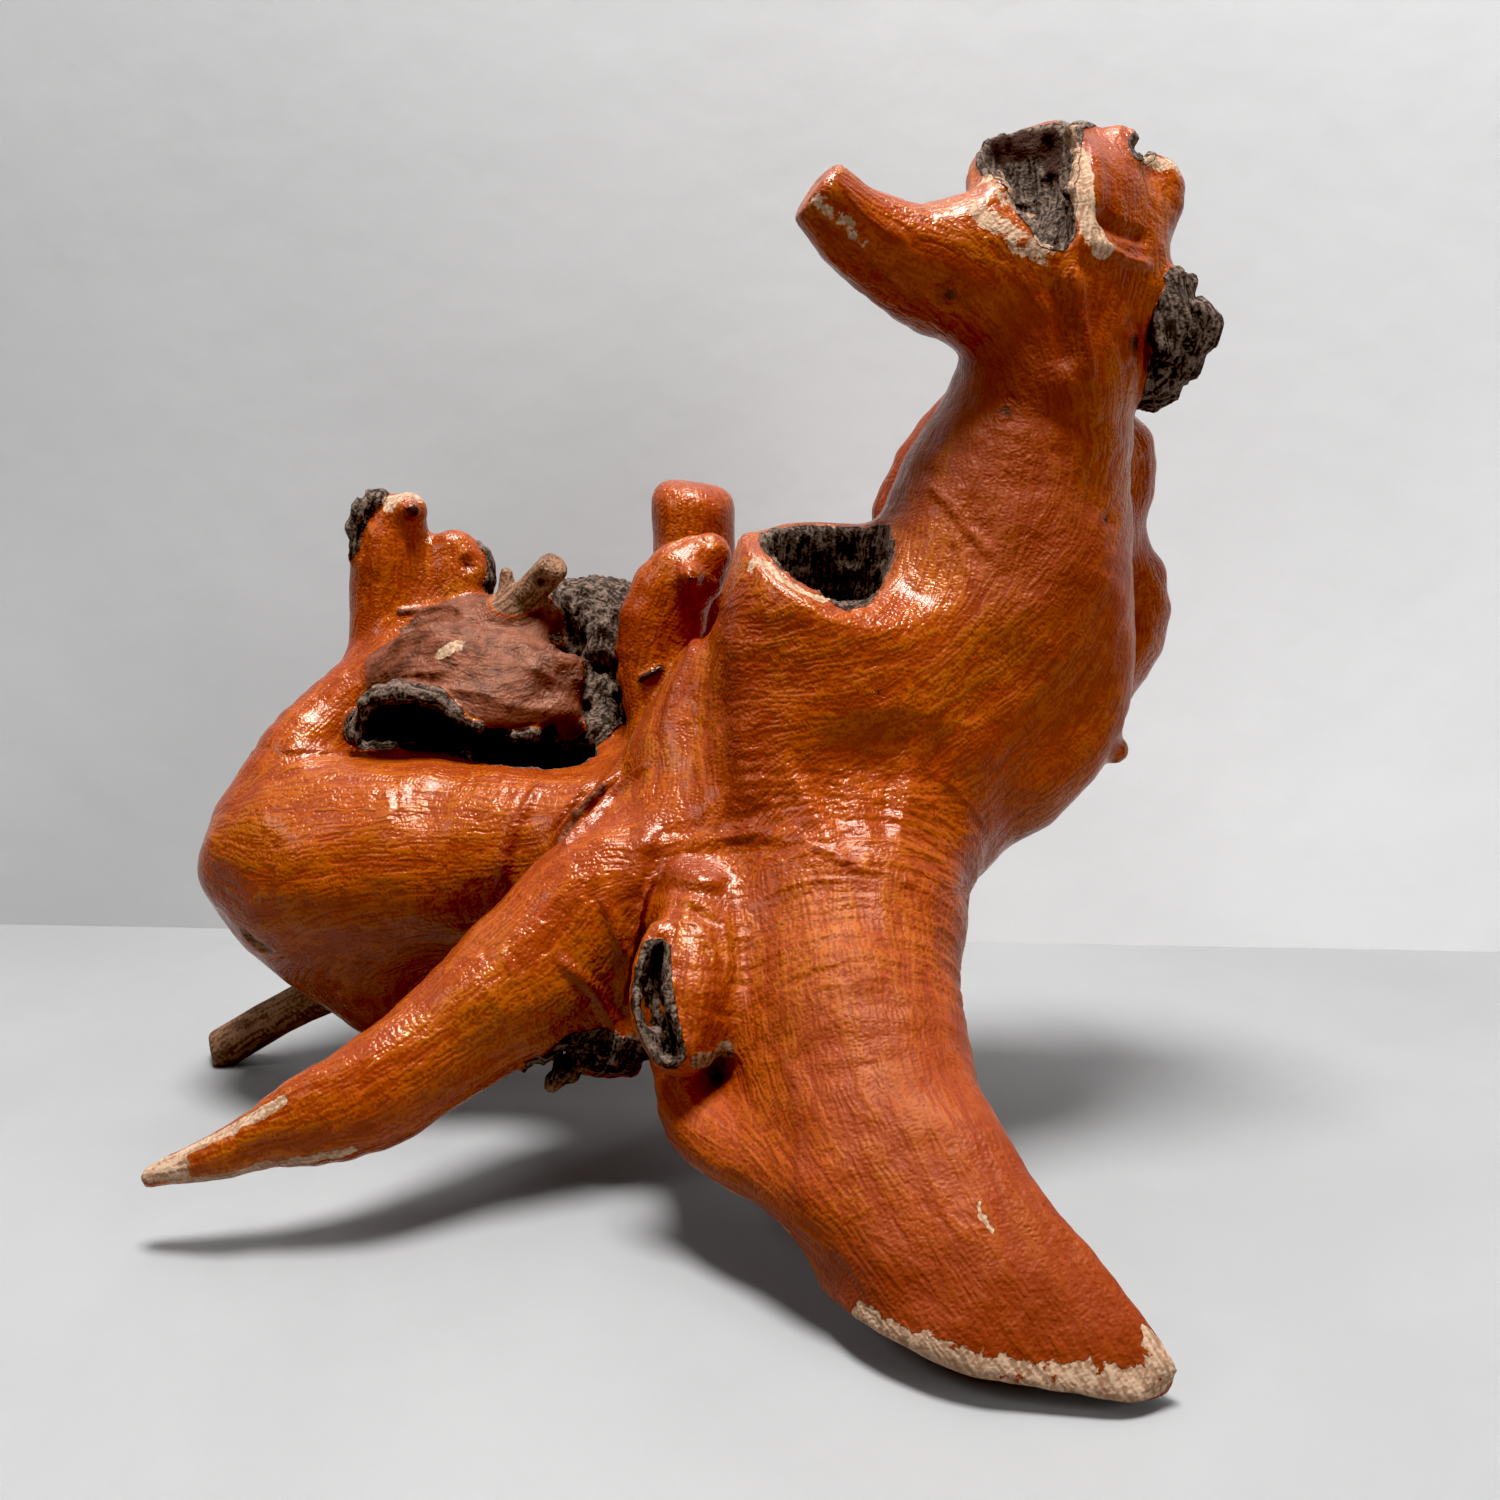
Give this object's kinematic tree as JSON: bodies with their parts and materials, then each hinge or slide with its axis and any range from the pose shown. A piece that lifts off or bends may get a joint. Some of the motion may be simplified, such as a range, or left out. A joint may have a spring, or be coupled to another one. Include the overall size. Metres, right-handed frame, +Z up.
{
  "type": "dry root",
  "caption": "Gnarled, lacquered dry tree root standing on sawn root ends, with a curved neck, a rotted collar hole and a sweeping foot.",
  "frame": {"origin": "centre of the root's bounding box in plan, at the level of the three sawn feet", "axes": "+Z up, -Y towards the viewer of the picture, +X to the viewer's right; the neck is at +X and the thigh at -X"},
  "size_m": [0.4436, 0.3305, 0.4147],
  "materials": {
    "lacquered_wood": "glossy amber lacquer over streaked wood, bare and pale where it has chipped, dark and crumbly where it has rotted"
  },
  "bodies": {
    "root": {"dry_root": "lacquered_wood"}
  },
  "joints": []
}
